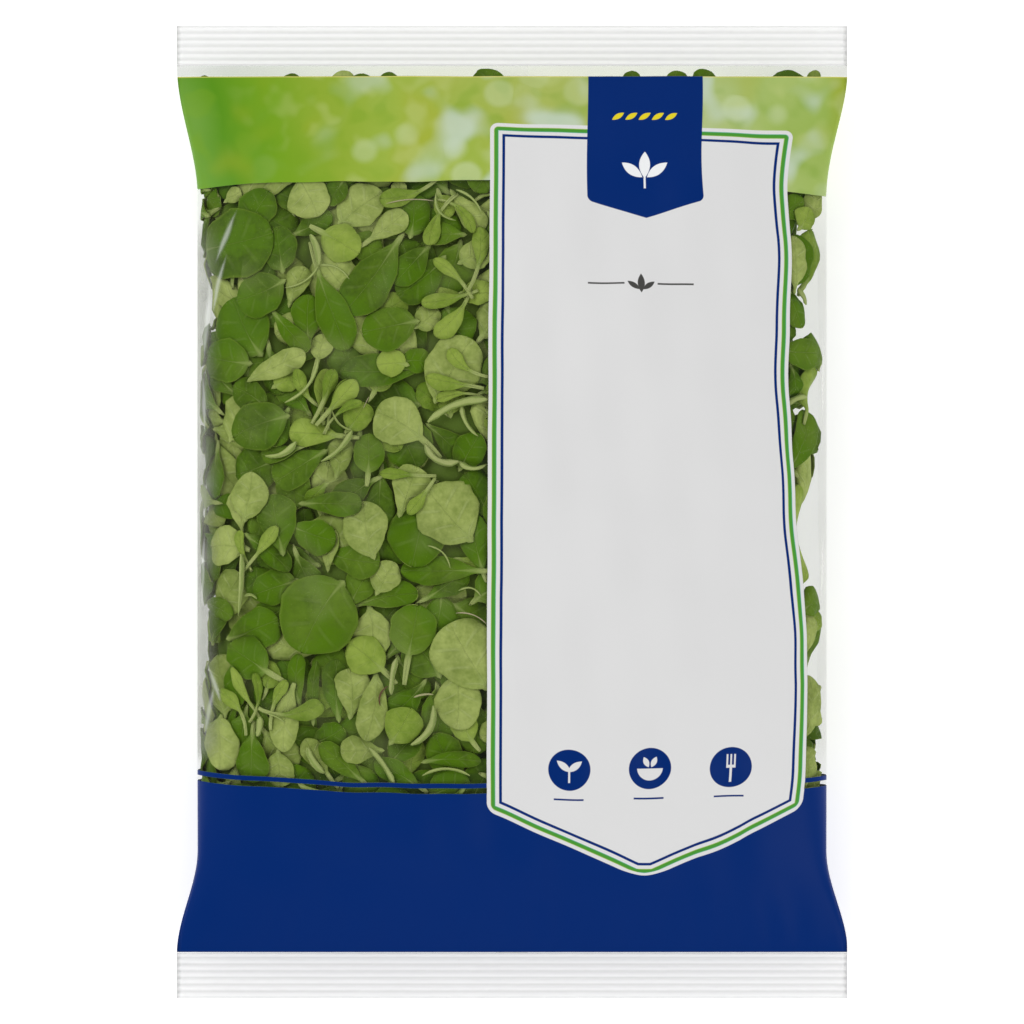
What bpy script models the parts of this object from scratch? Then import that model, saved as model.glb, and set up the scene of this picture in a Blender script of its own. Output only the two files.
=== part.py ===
"""Sealed pillow bag of salad leaves, at full size in metres, lying on its back with the printed front up.

+X runs across the bag, +Y towards its top seal and +Z up. The origin is on the surface that the bag lies
on, under the middle of its outline. The bag is clear film welded shut all round its contents, so it is one
closed solid: two flat crimped seals with a filled pillow between them.
"""

import math

import bmesh
import bpy

# Driving sizes of the flat film and the filled bag
BAG_WIDTH = 0.240
BAG_LENGTH = 0.348
FILLED_WIDTH = 0.225
FILLED_THICKNESS = 0.045
TOP_SEAL = 0.0142
BOTTOM_SEAL = 0.0160

# Heights above the floor of the flat seals, and of the side folds where the bag is full
SEAL_HEIGHT = 0.0125
FOLD_HEIGHT = 0.0200

# How the filled part swells: shoulders along the bag, and the roundness of its cross-section
TOP_SHOULDER = 0.104
BOTTOM_SHOULDER = 0.098
TOP_NECK = 0.047
BOTTOM_NECK = 0.037
SECTION_SIDE_POWER = 3.0
SECTION_CROWN_POWER = 2.0

# How far the back film would hang below the floor if it could: the floor holds it flat over this much
BACK_SAG = 0.0055

# Lumps that the leaves press into the film: height and length of the longest wave
LUMP_HEIGHT = 0.0011
LUMP_LENGTH = 0.058

# Crimped seals: the two welded films, and the ridges that the sealing jaws leave
WELD_THICKNESS = 0.0009
WELD_EDGE_SHARPNESS = 60
CRIMP_PITCH = 0.0024
CRIMP_DEPTH = 0.0004

# Printed fields, as distances from the middle of the bag
GREEN_BAND = (0.117, 0.156)
NAVY_BAND = (-0.158, -0.1005)
LABEL_ACROSS = (-0.0084, 0.1030)
LABEL_ALONG = (-0.104, 0.138)

# Fineness of the mesh
POINTS_ACROSS = 28
BODY_ROWS = 36

SEAL_TOP_Y = BAG_LENGTH / 2 - TOP_SEAL
SEAL_BOTTOM_Y = -BAG_LENGTH / 2 + BOTTOM_SEAL


def smooth_step(value):
    """0 below 0, 1 above 1, with a smooth rise between them."""
    value = min(max(value, 0.0), 1.0)
    return value * value * (3.0 - 2.0 * value)


def half_width(y):
    """Half the outline's width: full at the flat seals, drawn in where the contents part the films."""
    drawn_in = smooth_step((SEAL_TOP_Y - y) / TOP_NECK) * smooth_step((y - SEAL_BOTTOM_Y) / BOTTOM_NECK)
    return BAG_WIDTH / 2 - (BAG_WIDTH - FILLED_WIDTH) / 2 * drawn_in


def fullness(y):
    """How far the films have parted: 0 in the seals, 1 in the middle, a quarter sine wave over each shoulder."""
    from_top = min(max((SEAL_TOP_Y - y) / TOP_SHOULDER, 0.0), 1.0)
    from_bottom = min(max((y - SEAL_BOTTOM_Y) / BOTTOM_SHOULDER, 0.0), 1.0)
    return math.sin(from_top * math.pi / 2) * math.sin(from_bottom * math.pi / 2)


def crown(across):
    """Height of the cross-section, 1 in the middle and 0 at the side folds, where across is -1 and 1."""
    return max(1.0 - abs(across) ** SECTION_SIDE_POWER, 0.0) ** (1.0 / SECTION_CROWN_POWER)


def lumps(x, y):
    """Height of the lumps over the leaves: four crossing waves, each shorter and lower than the one before."""
    height = 0.0
    for order in range(4):
        shorter = 1.0 + 0.62 * order
        turn = 0.7 + 1.9 * order
        along_wave = x * math.cos(turn) + y * math.sin(turn)
        height += math.sin(2 * math.pi * along_wave * shorter / LUMP_LENGTH + 1.3 * order) / shorter
    return LUMP_HEIGHT * height


def crimp(y):
    """Rise of the seal's ridges above the seal's own plane."""
    into_seal = max(y - SEAL_TOP_Y, SEAL_BOTTOM_Y - y, 0.0)
    return CRIMP_DEPTH * math.sin(2 * math.pi * into_seal / CRIMP_PITCH)


def surface_height(across, y, front):
    """Height above the floor of the front film, or of the back film, which lies flat where it meets the floor."""
    fold = SEAL_HEIGHT + (FOLD_HEIGHT - SEAL_HEIGHT) * fullness(y) + crimp(y)
    swell = fullness(y) * crown(across)
    weld = WELD_THICKNESS / 2 * smooth_step((1.0 - abs(across)) * WELD_EDGE_SHARPNESS)
    if front:
        lump = lumps(across * half_width(y), y)
        return fold + weld + (FILLED_THICKNESS - FOLD_HEIGHT + lump) * swell
    return max(fold - weld - (FOLD_HEIGHT + BACK_SAG) * swell, 0.0)


def places_across():
    """Places from the left fold, -1, to the right fold, 1, closest where the film turns round the sides."""
    return [math.sin(math.pi / 2 * (2 * step / POINTS_ACROSS - 1)) for step in range(POINTS_ACROSS + 1)]


def places_along():
    """Rows from the bottom edge to the top edge: one on each crest, trough and flank of the crimped ridges."""
    half_pitch = CRIMP_PITCH / 2
    bottom_rows = [SEAL_BOTTOM_Y - half_pitch * (step - 0.5) for step in range(1, int(BOTTOM_SEAL / half_pitch) + 1)]
    top_rows = [SEAL_TOP_Y + half_pitch * (step - 0.5) for step in range(1, int(TOP_SEAL / half_pitch) + 1)]
    body_length = SEAL_TOP_Y - SEAL_BOTTOM_Y
    body_rows = [
        SEAL_BOTTOM_Y + body_length * (1 - math.cos(math.pi * step / BODY_ROWS)) / 2 for step in range(BODY_ROWS + 1)
    ]
    return [-BAG_LENGTH / 2, *reversed(bottom_rows), *body_rows, *top_rows, BAG_LENGTH / 2]


def make_material(name, colour, roughness, alpha=1.0):
    """Principled material of one printed field or of the bare film."""
    material = bpy.data.materials.new(name)
    material.use_nodes = True
    shader = material.node_tree.nodes["Principled BSDF"]
    shader.inputs["Base Color"].default_value = (*colour, 1.0)
    shader.inputs["Roughness"].default_value = roughness
    shader.inputs["Metallic"].default_value = 0.0
    shader.inputs["Alpha"].default_value = alpha
    return material


def print_materials():
    """The bag's materials, in the order of the indices that field_of gives."""
    return [
        make_material("frosted_seal", (0.80, 0.80, 0.80), 0.40),
        make_material("salad_behind_film", (0.13, 0.22, 0.035), 0.35),
        make_material("green_print", (0.38, 0.50, 0.09), 0.35),
        make_material("navy_print", (0.0, 0.024, 0.155), 0.30),
        make_material("label_print", (0.72, 0.72, 0.72), 0.35),
    ]


def field_of(centre, front):
    """Index of the material that a face at this centre is printed with."""
    if not SEAL_BOTTOM_Y < centre.y < SEAL_TOP_Y:
        return 0
    on_label = LABEL_ACROSS[0] < centre.x < LABEL_ACROSS[1] and LABEL_ALONG[0] < centre.y < LABEL_ALONG[1]
    if front and on_label:
        return 4
    if GREEN_BAND[0] < centre.y < GREEN_BAND[1]:
        return 2
    if NAVY_BAND[0] < centre.y < NAVY_BAND[1]:
        return 3
    return 1


def make_bag(collection):
    """Lofts closed rings, front film then back film, from the bottom edge of the bag to its top edge."""
    shape = bmesh.new()
    across = places_across()
    rings = []
    for y in places_along():
        width = half_width(y)
        front = [shape.verts.new((place * width, y, surface_height(place, y, True))) for place in across]
        back = [shape.verts.new((place * width, y, surface_height(place, y, False))) for place in across[-2:0:-1]]
        rings.append(front + back)
    for lower, upper in zip(rings, rings[1:]):
        for step, corner in enumerate(lower):
            following = (step + 1) % len(lower)
            face = shape.faces.new((corner, lower[following], upper[following], upper[step]))
            face.material_index = field_of(face.calc_center_median(), step < POINTS_ACROSS)
            face.smooth = True
    shape.faces.new(reversed(rings[0]))
    shape.faces.new(rings[-1])
    bmesh.ops.triangulate(shape, faces=shape.faces[:])
    bmesh.ops.recalc_face_normals(shape, faces=shape.faces[:])
    mesh = bpy.data.meshes.new("salad_bag")
    shape.to_mesh(mesh)
    shape.free()
    for material in print_materials():
        mesh.materials.append(material)
    bag = bpy.data.objects.new("salad_bag", mesh)
    collection.objects.link(bag)
    return bag


def main():
    for old in list(bpy.data.objects):
        bpy.data.objects.remove(old)
    collection = bpy.data.collections.new("bag_of_salad_leaves")
    bpy.context.scene.collection.children.link(collection)
    make_bag(collection)


main()
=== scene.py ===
import math

import bpy
import numpy as np
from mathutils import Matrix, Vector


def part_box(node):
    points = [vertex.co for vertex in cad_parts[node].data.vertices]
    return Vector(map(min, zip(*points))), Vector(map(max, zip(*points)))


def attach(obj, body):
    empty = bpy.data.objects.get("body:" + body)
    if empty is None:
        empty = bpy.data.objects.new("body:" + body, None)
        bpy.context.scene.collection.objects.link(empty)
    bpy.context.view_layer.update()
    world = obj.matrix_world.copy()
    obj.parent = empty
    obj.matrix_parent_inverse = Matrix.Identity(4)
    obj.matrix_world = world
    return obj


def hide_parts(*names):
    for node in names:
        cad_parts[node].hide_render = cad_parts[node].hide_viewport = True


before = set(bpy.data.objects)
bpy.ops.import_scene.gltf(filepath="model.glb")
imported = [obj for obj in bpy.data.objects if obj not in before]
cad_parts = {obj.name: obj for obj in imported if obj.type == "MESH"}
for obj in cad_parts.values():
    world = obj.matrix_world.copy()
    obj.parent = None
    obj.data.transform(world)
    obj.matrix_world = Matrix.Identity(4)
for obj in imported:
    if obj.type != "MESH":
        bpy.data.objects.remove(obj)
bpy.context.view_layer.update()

# The tube of film: one width of thin clear plastic, lapped and welded down the back, and shut by a crimped
# seal at each end. Filled and laid on its back it swells to a pillow. The film doesn't stretch, so each
# place on it has two film coordinates that hold in any shape: the way round from the front's middle line,
# and the way up from the bottom edge. All sizes are in metres, and the form is that of the CAD solid.
BAG_LOW, BAG_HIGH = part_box("salad_bag")
BAG_WIDTH = BAG_HIGH[0] - BAG_LOW[0]
BAG_LENGTH = BAG_HIGH[1] - BAG_LOW[1]
FILM_ROUND = 2 * BAG_WIDTH
FILLED_WIDTH = 0.225
FILLED_THICKNESS = 0.045
TOP_SEAL = 0.0142
BOTTOM_SEAL = 0.0160
SEAL_HEIGHT = 0.0125
FOLD_HEIGHT = 0.0200
TOP_SHOULDER = 0.104
BOTTOM_SHOULDER = 0.098
TOP_NECK = 0.047
BOTTOM_NECK = 0.037
SECTION_SIDE_POWER = 3.0
SECTION_CROWN_POWER = 2.0
BACK_SAG = 0.0055
LUMP_HEIGHT = 0.0011
LUMP_LENGTH = 0.058
WELD_THICKNESS = 0.0003
CRIMP_PITCH = 0.0024
CRIMP_DEPTH = 0.0004
SEAL_TOP_Y = BAG_LENGTH / 2 - TOP_SEAL
SEAL_BOTTOM_Y = -BAG_LENGTH / 2 + BOTTOM_SEAL


def smooth_step(value, start=0.0, end=1.0):
    """0 before start and 1 after end, and between them 3q² - 2q³ at the share q of the way."""
    share = np.clip((value - start) / (end - start), 0.0, 1.0)
    return share * share * (3.0 - 2.0 * share)


def half_width(y):
    """Half the flat width, less a smooth step that draws the sides in over the neck below each seal."""
    drawn_in = smooth_step(SEAL_TOP_Y - y, 0.0, TOP_NECK) * smooth_step(y - SEAL_BOTTOM_Y, 0.0, BOTTOM_NECK)
    return BAG_WIDTH / 2 - (BAG_WIDTH - FILLED_WIDTH) / 2 * drawn_in


def fullness(y):
    """How far the films have parted, 0 to 1: a quarter sine over each shoulder, multiplied."""
    from_top = np.clip((SEAL_TOP_Y - y) / TOP_SHOULDER, 0.0, 1.0)
    from_bottom = np.clip((y - SEAL_BOTTOM_Y) / BOTTOM_SHOULDER, 0.0, 1.0)
    return np.sin(from_top * np.pi / 2) * np.sin(from_bottom * np.pi / 2)


def lumps(x, y):
    """Four crossing sine waves over the leaves, each shorter and lower than the one before."""
    height = 0.0
    for order in range(4):
        shorter = 1.0 + 0.62 * order
        turn = 0.7 + 1.9 * order
        along_wave = x * math.cos(turn) + y * math.sin(turn)
        height = height + np.sin(2 * np.pi * along_wave * shorter / LUMP_LENGTH + 1.3 * order) / shorter
    return LUMP_HEIGHT * height


def film_heights(across, y):
    """Heights of the front and the back film at a place across, -1 to 1, between the two side folds.

    Both leave the fold's height by the fullness times (1 - |across|^side power)^(1 / crown power). The
    front rises to the filled thickness and the back sags until the floor holds it at zero.
    """
    full = fullness(y)
    into_seal = np.maximum(np.maximum(y - SEAL_TOP_Y, SEAL_BOTTOM_Y - y), 0.0)
    ridges = CRIMP_DEPTH * np.sin(2 * np.pi * into_seal / CRIMP_PITCH)
    fold = SEAL_HEIGHT + (FOLD_HEIGHT - SEAL_HEIGHT) * full + ridges
    swell = full * np.maximum(1.0 - np.abs(across) ** SECTION_SIDE_POWER, 0.0) ** (1 / SECTION_CROWN_POWER)
    weld = WELD_THICKNESS / 2 * smooth_step(1.0 - np.abs(across), 0.0, 0.02)
    rise = FILLED_THICKNESS - FOLD_HEIGHT + lumps(across * half_width(y), y)
    return fold + weld + rise * swell, np.maximum(fold - weld - (FOLD_HEIGHT + BACK_SAG) * swell, 0.0)


def section_point(turn, y):
    """Point of the closed section: turn 0 is the front's middle, ±0.5 the folds, ±1 the back's middle."""
    across = np.sin(np.pi * turn)
    front, back = film_heights(across, y)
    height = np.where(np.abs(turn) <= 0.5, front, back)
    return np.stack([across * half_width(y), y + 0 * turn, height], axis=-1)


# The body's rows and turns are laid out finely once, and the film's own lengths measured on them
ROUND_STEPS = 480
FINE_TURNS, FINE_ROWS = 1600, 640
fine_turns = np.linspace(-1, 1, FINE_TURNS + 1)
fine_rows = np.linspace(SEAL_BOTTOM_Y, SEAL_TOP_Y, FINE_ROWS + 1)
ways_round = np.linspace(-FILM_ROUND / 2, FILM_ROUND / 2, ROUND_STEPS + 1)
fine_points = section_point(fine_turns[None, :], fine_rows[:, None])
steps = np.linalg.norm(np.diff(fine_points, axis=1), axis=-1)
run = np.concatenate([np.zeros((len(fine_rows), 1)), np.cumsum(steps, axis=1)], axis=1)
quarter_starts = run[:, ::FINE_TURNS // 4]
turn_of_way = np.empty((len(fine_rows), ROUND_STEPS + 1))
for row in range(len(fine_rows)):
    way = np.interp(run[row], quarter_starts[row], np.linspace(-FILM_ROUND / 2, FILM_ROUND / 2, 5))
    turn_of_way[row] = np.interp(ways_round, way, fine_turns)
body_points = section_point(turn_of_way, fine_rows[:, None])
steps = np.linalg.norm(np.diff(body_points, axis=0), axis=-1)
run = np.concatenate([np.zeros((1, ROUND_STEPS + 1)), np.cumsum(steps, axis=0)], axis=0)
BODY_LENGTH = float(run[-1, ROUND_STEPS // 2])
FILM_LENGTH = BOTTOM_SEAL + BODY_LENGTH + TOP_SEAL
way_up_of_row = BOTTOM_SEAL + BODY_LENGTH * run / run[-1]


def film_points(ways_up):
    """Points of the film for each way up and each of the ways round.

    Up the body every line of the film has the same length, so on each line the row is the one that lies
    the same share of the way up. In the seals the film is flat, and the way up is a plain distance.
    """
    points = np.empty((len(ways_up), ROUND_STEPS + 1, 3))
    for column in range(ROUND_STEPS + 1):
        for axis in range(3):
            line = body_points[:, column, axis]
            points[:, column, axis] = np.interp(ways_up, way_up_of_row[:, column], line)
    for row, way_up in enumerate(ways_up):
        if way_up < BOTTOM_SEAL:
            points[row] = section_point(turn_of_way[0], way_up - BAG_LENGTH / 2)
        elif way_up > FILM_LENGTH - TOP_SEAL:
            points[row] = section_point(turn_of_way[-1], BAG_LENGTH / 2 + way_up - FILM_LENGTH)
    return points


# The leaves: 250 g of corn salad, cut as small plants that have mostly fallen apart into round or
# spoon-shaped leaves on pale stalks. The film presses the outer ones flat. Each leaf is laid in film
# coordinates from the film inward, the front ones first, and bends under those already laid.
CELL = FILM_ROUND / ROUND_STEPS
BLADE_THICKNESS = 0.00035
STALK_THICKNESS = 0.0013
STALK_HALF_WIDTH = 0.00085
LEAF_GAP = 0.00055
FILM_GAP = 0.0004
table_ways_up = np.arange(0.0, FILM_LENGTH, CELL)
surface = film_points(table_ways_up)
chance = np.random.default_rng(11)


def way_to_middle(points):
    """Vector from each point of the film to the middle of the filling, straight in for the flat faces.

    The middle is the line half-way between the films, cut short at each side by half the thickness.
    """
    x, y, z = np.moveaxis(points, -1, 0)
    front, back = film_heights(0.0, y)
    width = half_width(y)
    reach = np.maximum(width - (front - back) / 2, 0.0)
    middle_x = np.clip(x, -reach, reach)
    front, back = film_heights(middle_x / width, y)
    return np.stack([middle_x - x, 0.0 * y, (front + back) / 2 - z], axis=-1)


inward = way_to_middle(surface)


def read_table(table, way_round, way_up):
    """Bilinear reading of a table with a column for each cell round the film and a row for each one up it."""
    column = (way_round + FILM_ROUND / 2) / CELL
    row = np.clip(way_up / CELL, 0.0, len(table) - 1.001)
    left, lower = np.floor(column).astype(int), np.floor(row).astype(int)
    right_share, upper_share = column - left, row - lower
    right, left = (left + 1) % ROUND_STEPS, left % ROUND_STEPS
    if table.ndim == 3:
        right_share, upper_share = right_share[..., None], upper_share[..., None]
    below = table[lower, left] * (1 - right_share) + table[lower, right] * right_share
    above = table[lower + 1, left] * (1 - right_share) + table[lower + 1, right] * right_share
    return below * (1 - upper_share) + above * upper_share


def inside_film(way_round, way_up, depth):
    """Point at a depth below the film: the film's point plus the way to the middle, never quite all of it.

    The share of the way is tanh(depth / length of the way), so that deep leaves crowd and don't cross.
    """
    to_middle = read_table(inward, way_round, way_up)
    length = np.linalg.norm(to_middle, axis=-1) + 1e-6
    share = np.tanh(depth / length)
    return read_table(surface, way_round, way_up) + to_middle * share[..., None]


# Depth that is taken up so far in each cell: at first only by the air where the film stands off the
# leaves along its side folds, more of it in a few pockets up each side. A pocket is given by its side, its
# way up, half its length and how deep it is
ways_round_cells, ways_up_cells = np.meshgrid(ways_round[:-1], table_ways_up)
AIR_POCKETS = (
    (1, 0.2545, 0.009, 0.0060), (1, 0.2235, 0.007, 0.0055), (1, 0.1740, 0.017, 0.0100),
    (1, 0.1250, 0.005, 0.0055), (-1, 0.2600, 0.009, 0.0046), (-1, 0.1330, 0.014, 0.0028),
    (-1, 0.1980, 0.004, 0.0016),
)
on_right = ways_round_cells > 0
side_air = 0.0001 + 0.0004 * on_right + 0.0001 * np.sin(ways_up_cells / 0.0071 + 3.0 * on_right)
for side, height, half_length, depth in AIR_POCKETS:
    swell = np.exp(-((ways_up_cells - height) / half_length) ** 2)
    side_air = side_air + depth * swell * (np.sign(ways_round_cells) == side)
from_fold = np.abs(np.abs(ways_round_cells) - FILM_ROUND / 4)
taken = FILM_GAP + side_air * np.exp(-(from_fold / (0.007 + 0.5 * side_air)) ** 2)


def softened(table):
    """Each cell's highest value over it and its neighbours, averaged over the same three by three cells."""
    highest = table
    for axis in (0, 1):
        highest = np.maximum(highest, np.maximum(np.roll(highest, 1, axis), np.roll(highest, -1, axis)))
    mean = highest
    for axis in (0, 1):
        mean = (mean + np.roll(mean, 1, axis) + np.roll(mean, -1, axis)) / 3
    return np.maximum(mean, table)


def cells_at(way_round, way_up):
    """Rows and columns of the cells that places on the film lie in."""
    rows = np.clip(np.round(way_up / CELL).astype(int), 0, len(taken) - 1)
    return rows, np.round((way_round + FILM_ROUND / 2) / CELL).astype(int) % ROUND_STEPS


def way_of(x, y):
    """Film coordinates of the place on the front film that lies at x and y.

    They are those of the nearest point of the table, moved by what is left over times the film's own slope.
    """
    first = ROUND_STEPS // 4 + 1
    front = surface[1:-1, first:3 * ROUND_STEPS // 4]
    apart = (front[..., 0] - x) ** 2 + (front[..., 1] - y) ** 2
    row, column = np.unravel_index(np.argmin(apart), apart.shape)
    row, column = row + 1, column + first
    slope_x = (surface[row, column + 1, 0] - surface[row, column - 1, 0]) / (2 * CELL)
    slope_y = (surface[row + 1, column, 1] - surface[row - 1, column, 1]) / (2 * CELL)
    way_round = ways_round[column] + (x - surface[row, column, 0]) / max(slope_x, 0.2)
    return way_round, table_ways_up[row] + (y - surface[row, column, 1]) / max(slope_y, 0.2)


def new_piece(name, points, faces, attributes):
    """A smooth-shaded mesh object at the origin from arrays of points and faces, with vector attributes."""
    mesh = bpy.data.meshes.new(name)
    mesh.from_pydata(points.reshape(-1, 3).tolist(), [], faces)
    for attribute, values in attributes.items():
        layer = mesh.attributes.new(attribute, "FLOAT_VECTOR", "POINT")
        layer.data.foreach_set("vector", np.asarray(values, dtype=np.float32).ravel())
    mesh.shade_smooth()
    piece = bpy.data.objects.new(name, mesh)
    bpy.context.scene.collection.objects.link(piece)
    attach(piece, "root")
    return piece


class Wire:
    """A socket in a material. Python's operators on it add Math nodes, and node() adds any other node."""

    def __init__(self, tree, socket):
        self.tree, self.socket = tree, socket

    def node(self, kind, settings, sockets, output=0):
        made = self.tree.nodes.new(kind)
        for name, value in settings.items():
            if name == "stops":
                stops = made.color_ramp.elements
                for place, colour in value:
                    stops.new(place).color = colour
                for first in [stop for stop in stops if stop.position in (0.0, 1.0)][::-1]:
                    stops.remove(first)
            else:
                setattr(made, name, value)
        for name, value in sockets.items():
            if isinstance(value, Wire):
                self.tree.links.new(value.socket, made.inputs[name])
            else:
                made.inputs[name].default_value = value
        return Wire(self.tree, made.outputs[output])

    def maths(self, operation, *others):
        return self.node("ShaderNodeMath", {"operation": operation}, dict(enumerate([self, *others])))

    def __add__(self, other):
        return self.maths("ADD", other)

    def __sub__(self, other):
        return self.maths("SUBTRACT", other)

    def __mul__(self, other):
        return self.maths("MULTIPLY", other)

    def __truediv__(self, other):
        return self.maths("DIVIDE", other)

    def __pow__(self, other):
        return self.maths("POWER", other)

    def __radd__(self, other):
        return self.maths("ADD", other)

    def __rsub__(self, other):
        return self.maths("MULTIPLY_ADD", -1.0, other)

    def __rmul__(self, other):
        return self.maths("MULTIPLY", other)

    def __neg__(self):
        return self.maths("MULTIPLY", -1.0)

    def __abs__(self):
        return self.maths("ABSOLUTE")

    def greater(self, other):
        return self.maths("MAXIMUM", other)

    def lesser(self, other):
        return self.maths("MINIMUM", other)

    def between(self, start, end):
        """0 where this is below start and 1 where it is above end, with a smooth step between them."""
        steps = {"Value": self, "From Min": start, "From Max": end}
        return self.node("ShaderNodeMapRange", {"interpolation_type": "SMOOTHSTEP"}, steps)

    def colours(self, first, second):
        """The first colour where this is 0, the second where it is 1, and their mix between."""
        return self.node("ShaderNodeMix", {"data_type": "RGBA"}, {0: self, 6: first, 7: second}, 2)

    def parts(self):
        """The three numbers of this vector."""
        return [self.node("ShaderNodeSeparateXYZ", {}, {0: self}, output) for output in range(3)]

    def noise(self, scale, detail=2.0, roughness=0.5):
        """Noise, about 0.5 in the mean, read at this vector, with scale waves to the unit."""
        sockets = {"Vector": self, "Scale": scale, "Detail": detail, "Roughness": roughness}
        return self.node("ShaderNodeTexNoise", {}, sockets)

    def attribute(self, name):
        """The three numbers of an attribute of the mesh."""
        return self.node("ShaderNodeAttribute", {"attribute_name": name}, {}, 1).parts()

    def bump(self, strength, distance):
        """Normal of a surface with this relief, where a unit of it is a distance in metres."""
        return self.node("ShaderNodeBump", {}, {"Strength": strength, "Distance": distance, "Height": self})


def ink(red, green, blue):
    """Linear colour, with alpha, of a display colour given in steps of 0 to 255."""
    shares = [step / 255 for step in (red, green, blue)]
    linear = [share / 12.92 if share <= 0.04045 else ((share + 0.055) / 1.055) ** 2.4 for share in shares]
    return (*linear, 1.0)


def new_material(name, roughness):
    """A Principled material, and wires for its shader and for its own object's coordinates."""
    material = bpy.data.materials.new(name)
    material.use_nodes = True
    tree = material.node_tree
    shader = tree.nodes["Principled BSDF"]
    shader.inputs["Roughness"].default_value = roughness
    place = Wire(tree, tree.nodes.new("ShaderNodeTexCoord").outputs["Object"])
    return material, shader, place


def feed(wire, shader, name):
    wire.tree.links.new(wire.socket, shader.inputs[name])


# Stems and roots: pale, juicy leaf stalks and bits of thin root that lie loose on top of the leaves, right
# under the film. Each is a tube along a curve; ends in mm from the bag's middle, the bow's height in mm,
# the radius at each end in mm, and how green it is, from 0 for a root to 1
STEMS = (
    (-72, 99, -69, 88, 1, 1.4, 1.2, 0.9), (-69, 88, -81, 80, 2, 0.5, 0.3, 0.8),
    (-69, 88, -58, 83, 2, 0.5, 0.35, 0.8), (-45, 110, -28, 111, 1, 0.2, 0.25, 0.0),
    (-27, 114, -20, 104, -3, 0.6, 0.4, 0.8), (-20, 115, -11, 107, 1.5, 0.6, 0.4, 0.8),
    (-30, 32, -8, 40, 2.5, 1.4, 1.6, 0.75), (-18, 38, -12, 27, -1.5, 1.2, 0.5, 0.7),
    (-31, 24, -19, 18, -3, 1.3, 1.4, 0.6), (-19, 18, -9, 17, -2, 1.3, 0.6, 0.7),
    (-77, 25, -88, 20, 2, 1.6, 0.7, 0.8), (-57, 29, -68, 18, 1.5, 1.3, 0.6, 0.8),
    (-81, 39, -69, 55, -3, 0.6, 0.7, 0.85), (-64, 36, -57, 29, -1.5, 0.35, 0.5, 0.7),
    (-51, 41, -53, 37, 0, 0.15, 0.1, 0.1), (-97, -15, -98, -37, 0.5, 1.4, 0.5, 0.75),
    (-96, -30, -91, -31, 1, 0.6, 0.5, 0.8), (-43, -65, -41, -52, 0.6, 1.0, 1.2, 0.6),
    (-47, -69, -44, -62, 1.5, 0.3, 0.4, -0.6), (-35, -66, -28, -65, 0.5, 0.45, 0.35, 0.3),
    (-28, -69, -36, -83, 3, 1.4, 1.4, 0.65), (-20, -36, -9, -40, 1.5, 0.25, 0.2, 0.0),
    (-19, -28, -11, -30, 2, 0.4, 0.35, 0.7), (-90, -73, -91, -80, 0.4, 1.5, 1.1, 0.8),
    (-87, -72, -81, -75, 0.5, 0.45, 0.3, 0.8), (-73, -84, -67, -93, -1, 1.3, 1.4, 0.75),
    (-51, -84, -42, -97, 0.8, 0.9, 1.2, 0.75), (-32, -94, -15, -94, 2.5, 0.6, 0.6, 0.8),
    (105, 80, 108, 74, 0.5, 1.2, 0.7, 0.8), (100, 38, 108, 41, 1, 1.3, 1.2, 0.85),
    (-30, -12, -22, -20, 2, 0.4, 0.3, 0.8),
)
STEM_STEPS, STEM_SIDES = 14, 10
stem_turns = np.linspace(0, 2 * np.pi, STEM_SIDES, endpoint=False)


def lay_stem(x, y, end_x, end_y, bow, radius, end_radius):
    """Points of a tube along a bowed line, 4q(1 - q) of the bow aside at the share q, laid against the film.

    Its circles taper towards both ends, and it lies half under the highest thing above it.
    """
    share = np.linspace(0, 1, STEM_STEPS)
    hump = 4 * share * (1 - share) * bow
    length = math.hypot(end_x - x, end_y - y)
    path_x = x + (end_x - x) * share - hump * (end_y - y) / length
    path_y = y + (end_y - y) * share + hump * (end_x - x) / length
    path = [way_of(place_x / 1000, place_y / 1000) for place_x, place_y in zip(path_x, path_y)]
    way_round, way_up = np.array(path).T
    radii = 0.88 * (radius + (end_radius - radius) * share) / 1000 * (1 + 0.10 * np.sin(share * 9 + x))
    radii = radii * np.minimum(1, 0.30 + 5.0 * np.minimum(share, 1 - share))
    above = read_table(softened(taken), way_round, way_up)
    depth = (above.max() + above.mean()) / 2 + radii + LEAF_GAP / 2 - 0.0004 * np.sin(np.pi * share)
    centres = inside_film(way_round, way_up, depth)
    for offset in np.linspace(-1, 1, 5):
        np.maximum.at(taken, cells_at(way_round + offset * radii, way_up + offset * radii), depth + radii)
    forward = np.gradient(centres, axis=0)
    forward = forward / np.linalg.norm(forward, axis=1, keepdims=True)
    aside = np.cross(forward, read_table(inward, way_round, way_up))
    aside = aside / np.linalg.norm(aside, axis=1, keepdims=True)
    upward = np.cross(aside, forward)
    turns = stem_turns[None, :, None]
    circles = aside[:, None] * np.cos(turns) + upward[:, None] * np.sin(turns)
    return centres[:, None] + circles * radii[:, None, None]


stem_points = np.stack([lay_stem(*stem[:-1]) for stem in STEMS])
stem_looks = np.empty_like(stem_points)
for order, stem in enumerate(STEMS):
    stem_looks[order] = (stem[-1], stem[0] / 10, 0.0)
stem_looks[..., 2] = stem_turns / (2 * np.pi)
stem_index = np.arange(STEM_STEPS * STEM_SIDES).reshape(STEM_STEPS, STEM_SIDES)
stem_next = np.roll(stem_index, -1, axis=1)
stem_faces = np.stack([stem_index[:-1], stem_index[1:], stem_next[1:], stem_next[:-1]], -1)
stem_faces = [*stem_faces.reshape(-1, 4).tolist(), stem_index[0].tolist(), stem_index[-1, ::-1].tolist()]
stem_starts = range(0, len(STEMS) * stem_index.size, stem_index.size)
all_faces = [[corner + start for corner in face] for start in stem_starts for face in stem_faces]
stems = new_piece("stems_and_roots", stem_points, all_faces, {"stem_look": stem_looks})


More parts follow.
